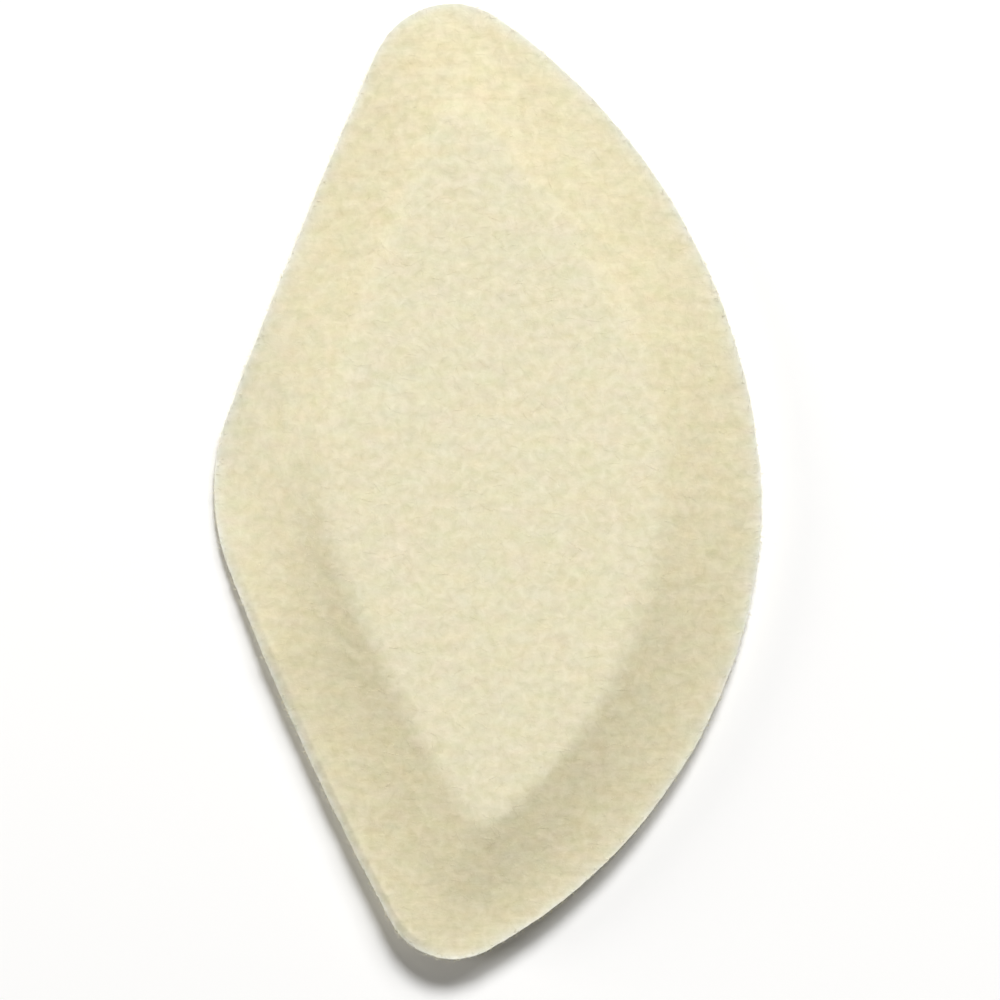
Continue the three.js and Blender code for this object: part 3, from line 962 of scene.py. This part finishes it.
class FeltPadLook(bpy.types.PropertyGroup):
    middle_colour: colour_of("Middle", "Wool of the raised middle", (0.768, 0.713, 0.508))
    border_colour: colour_of("Border", "Wool of the skived border", (0.718, 0.654, 0.440))
    # Rim: paler fluffed wool with a painted glow of lit fibres. Fringe: a painted highlight of lit
    # loose wool at the very edge.
    rim_wool_and_glow_colour: colour_of("Rim", "Fluffed wool at the cut edge", (0.778, 0.791, 0.708))
    edge_highlight_colour: colour_of("Fringe", "Loose wool at the very edge", (0.88, 0.875, 0.83))
    wall_colour: colour_of("Wall", "Wool of the cut wall", (0.80, 0.765, 0.61))
    # Fibre: loose wool, made paler than the felt partly as a painted glow for light shining
    # through the thin fibres
    fibre_wool_and_glow_colour: colour_of("Fibre", "Single loose fibres", (0.86, 0.81, 0.64))
    floor_colour: colour_of("Floor", "Paper under the pad", (0.98, 0.98, 0.98))
    fleck_size: length_of("Fleck size", "Size of the paler and darker flecks", 0.95)
    fibre_size: length_of("Fibre pattern", "Size of the matted fibre pattern", 0.55)
    fibre_depth: length_of("Fibre depth", "Depth of the matted fibres", 0.035)
    fleck_depth: number_of("Fleck depth", "Contrast of the flecks", 0.40)
    tint_depth: number_of("Tint depth", "Strength of the slow tints", 0.20)
    streak_depth: number_of("Streaks", "Streaks on the border", 0.5)


class FeltPadFibres(bpy.types.PropertyGroup):
    nap_density: amount_of("Nap", "Fibres on a square millimetre of the top", 0.7)
    nap_length: length_of("Nap length", "Longest fibre that lies on the top", 1.9)
    wall_density: amount_of("Wall fuzz", "Fibres on a square millimetre of the wall", 8.0)
    wall_length: length_of("Fuzz length", "Longest fibre that stands off the wall", 0.56)
    nap_thickness: length_of("Nap fibre", "Thickness of a fibre that lies on the top", 0.015)
    wall_thickness: length_of("Fuzz fibre", "Thickness of a fibre on the wall", 0.036)
    seed: IntProperty(name="Seed", description="Picks another scatter of the fibres", default=7)


class FeltPadStage(bpy.types.PropertyGroup):
    key_brightness: amount_of("Key", "Light of the main softbox, 1 for white paper", 0.915)
    key_turn: angle_of("Key turn", "Angle from +Y towards +X", 12)
    key_height: angle_of("Key height", "Angle above the floor", 44)
    key_size: length_of("Key size", "Width of the main softbox", 540.0)
    side_brightness: amount_of("Side", "Light of the softbox beside the main one", 0.335)
    side_turn: angle_of("Side turn", "Angle from +Y towards +X", 36)
    side_height: angle_of("Side height", "Angle above the floor", 38)
    side_size: length_of("Side size", "Width of the softbox beside the main one", 540.0)
    fill_brightness: amount_of("Fill", "Light of the wide screen on the corner's side", 0.37)
    fill_turn: angle_of("Fill turn", "Angle from +Y towards +X", -90)
    fill_height: angle_of("Fill height", "Angle above the floor", 14)
    fill_size: length_of("Fill size", "Width of the wide screen", 860.0)
    lamp_distance: length_of("Lamp distance", "From the pad to each lamp", 1800.0)
    room_brightness: amount_of("Room", "Even light of the room", 0.14)
    room_colour: colour_of("Room colour", "Light of the room and the screen", (1.0, 0.975, 0.92))
    view_width: length_of("View width", "Width of the picture at the pad", 94.49)
    view_x: place_of("View X", "Middle of the view", 1.18)
    view_y: place_of("View Y", "Middle of the view", -1.77)
    lens: number_of("Lens", "Focal length in millimetres", 150.0)


class FELTPAD_OT_felt(bpy.types.Operator):
    """Build the felt: raised middle, skived border, cut wall and flat underside"""

    bl_idname = "feltpad.felt"
    bl_label = "Felt"

    def execute(self, context):
        scene = context.scene
        mesh = felt_mesh("pressed_felt_pad", scene.feltpad_size)
        mesh.materials.append(pressed_felt(scene.feltpad_look))
        felt = placed_piece("pressed_felt_pad", mesh)
        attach(felt, "root")
        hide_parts(PAD_NODE)
        return {"FINISHED"}


class FELTPAD_OT_fibres(bpy.types.Operator):
    """Grow the loose fibres: the nap that lies on the top and the fuzz on the cut wall"""

    bl_idname = "feltpad.fibres"
    bl_label = "Loose fibres"

    def execute(self, context):
        felt = bpy.data.objects.get("pressed_felt_pad")
        if felt is None:
            raise RuntimeError("build the felt before its fibres")
        settings = context.scene.feltpad_fibres
        wool = loose_wool(context.scene.feltpad_look)
        per_square_metre = 1 / MM**2
        kinds = (
            (
                "top_nap",
                on_the_top,
                {
                    "Fibres per area": settings.nap_density * per_square_metre,
                    "Points": 6,
                    "Length": settings.nap_length,
                    "Thickness": settings.nap_thickness,
                    "Lowest lean": math.radians(0),
                    "Highest lean": math.radians(2),
                    "Arch": 0.015 * MM,
                    "Curl": 1.2 * MM,
                    "Rise": 0.02,
                },
            ),
            (
                "wall_fuzz",
                on_the_wall,
                {
                    "Fibres per area": settings.wall_density * per_square_metre,
                    "Points": 4,
                    "Length": settings.wall_length,
                    "Thickness": settings.wall_thickness,
                    "Lowest lean": math.radians(8),
                    "Highest lean": math.radians(60),
                    "Arch": 0.0,
                    "Curl": 0.5 * MM,
                    "Rise": 1.0,
                },
            ),
        )
        for name, where, values in kinds:
            values.update({"Seed": settings.seed, "Material": wool})
            mesh = grow_fibres(name, fibre_tree(name + "_tree", where), felt, values)
            piece = placed_piece(name, mesh)
            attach(piece, "root")
        return {"FINISHED"}


class FELTPAD_OT_stage(bpy.types.Operator):
    """Lay out the stage: paper floor, two softboxes, a wide screen, room light and the camera"""

    bl_idname = "feltpad.stage"
    bl_label = "Stage"

    def execute(self, context):
        scene = context.scene
        stage = scene.feltpad_stage
        floor = bpy.data.meshes.new("paper_floor")
        turns = ((-1, -1), (1, -1), (1, 1), (-1, 1))
        corners = [(x * FLOOR_HALF, y * FLOOR_HALF, 0) for x, y in turns]
        floor.from_pydata(corners, [], [(0, 1, 2, 3)])
        floor.materials.append(plain_paper(scene.feltpad_look))
        placed_piece("paper_floor", floor)

        far = stage.lamp_distance
        for name in ("key", "side", "fill"):
            brightness, turn, height, across = (
                getattr(stage, f"{name}_{setting}")
                for setting in ("brightness", "turn", "height", "size")
            )
            level = math.cos(height)
            towards = Vector((math.sin(turn) * level, math.cos(turn) * level, math.sin(height)))
            light = bpy.data.lights.new(f"{name}_lamp", "AREA")
            light.shape = "DISK"
            light.size = across
            # A white sheet that faces the lamp from this far comes out at the lamp's brightness.
            light.energy = brightness * (math.pi * far) ** 2
            if name == "fill":
                light.color = stage.room_colour
            lamp = placed_piece(f"{name}_lamp", light)
            lamp.location = towards * far
            lamp.rotation_euler = towards.to_track_quat("Z", "Y").to_euler()

        world = bpy.data.worlds.new("room_light")
        world.use_nodes = True
        background = world.node_tree.nodes["Background"]
        background.inputs["Color"].default_value = opaque(stage.room_colour)
        background.inputs["Strength"].default_value = stage.room_brightness
        scene.world = world

        lens = bpy.data.cameras.new("camera")
        lens.lens = stage.lens
        camera = placed_piece("camera", lens)
        above = stage.view_width * lens.lens / lens.sensor_width
        camera.location = (stage.view_x, stage.view_y, above + VIEW_PLANE * MM)
        lens.clip_start, lens.clip_end = 0.01, 10.0
        scene.camera = camera
        scene.view_settings.view_transform = "Standard"
        scene.view_settings.look = "None"
        return {"FINISHED"}


class FELTPAD_PT_sidebar(bpy.types.Panel):
    """Buttons and settings of the felt pad"""

    bl_idname = "FELTPAD_PT_sidebar"
    bl_label = "Felt arch pad"
    bl_space_type = "VIEW_3D"
    bl_region_type = "UI"
    bl_category = "Felt pad"

    def draw(self, context):
        scene = context.scene
        parts = (
            (FELTPAD_OT_felt, (scene.feltpad_size, scene.feltpad_look)),
            (FELTPAD_OT_fibres, (scene.feltpad_fibres,)),
            (FELTPAD_OT_stage, (scene.feltpad_stage,)),
        )
        for operator, groups in parts:
            box = self.layout.box()
            box.operator(operator.bl_idname)
            for group in groups:
                for name in group.__annotations__:
                    box.prop(group, name)


SETTINGS = {
    "feltpad_size": FeltPadSize,
    "feltpad_look": FeltPadLook,
    "feltpad_fibres": FeltPadFibres,
    "feltpad_stage": FeltPadStage,
}
CLASSES = (
    *SETTINGS.values(),
    FELTPAD_OT_felt,
    FELTPAD_OT_fibres,
    FELTPAD_OT_stage,
    FELTPAD_PT_sidebar,
)


def register():
    for one in CLASSES:
        bpy.utils.register_class(one)
    for name, group in SETTINGS.items():
        setattr(bpy.types.Scene, name, PointerProperty(type=group))


def unregister():
    for name in SETTINGS:
        delattr(bpy.types.Scene, name)
    for one in reversed(CLASSES):
        bpy.utils.unregister_class(one)


def main():
    register()
    bpy.ops.feltpad.stage()
    bpy.ops.feltpad.felt()
    bpy.ops.feltpad.fibres()


if __name__ == "__main__":
    main()
